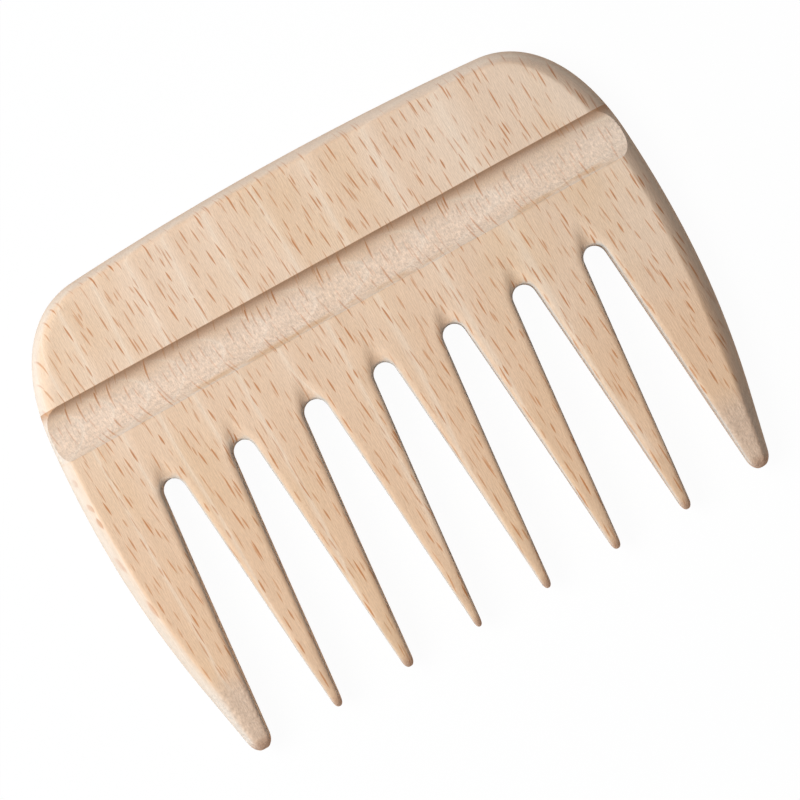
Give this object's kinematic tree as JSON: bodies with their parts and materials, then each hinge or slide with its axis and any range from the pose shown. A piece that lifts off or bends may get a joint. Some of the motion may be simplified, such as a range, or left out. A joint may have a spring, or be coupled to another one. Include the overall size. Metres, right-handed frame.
{
  "type": "wide-tooth afro comb",
  "caption": "Flat palm-size wooden comb with long tapering wide-set teeth, a finger groove across each face and a rounded plain grip, for combing out thick curly hair.",
  "frame": {"origin": "under the middle of the comb's outline, on the plane that its back rests on", "axes": "+X along the width to the right end tooth, +Y from the tooth tips to the grip, +Z out of the front face"},
  "size_m": [0.095, 0.0732, 0.009],
  "materials": {
    "beech": "fine-sanded, unvarnished, faint oil sheen"
  },
  "bodies": {
    "root": {"grip": "beech", "finger_groove": "beech", "root_bar": "beech", "end_tooth_left": "beech", "tooth_2": "beech", "tooth_3": "beech", "tooth_4": "beech", "tooth_5": "beech", "tooth_6": "beech", "tooth_7": "beech", "end_tooth_right": "beech"}
  },
  "joints": []
}
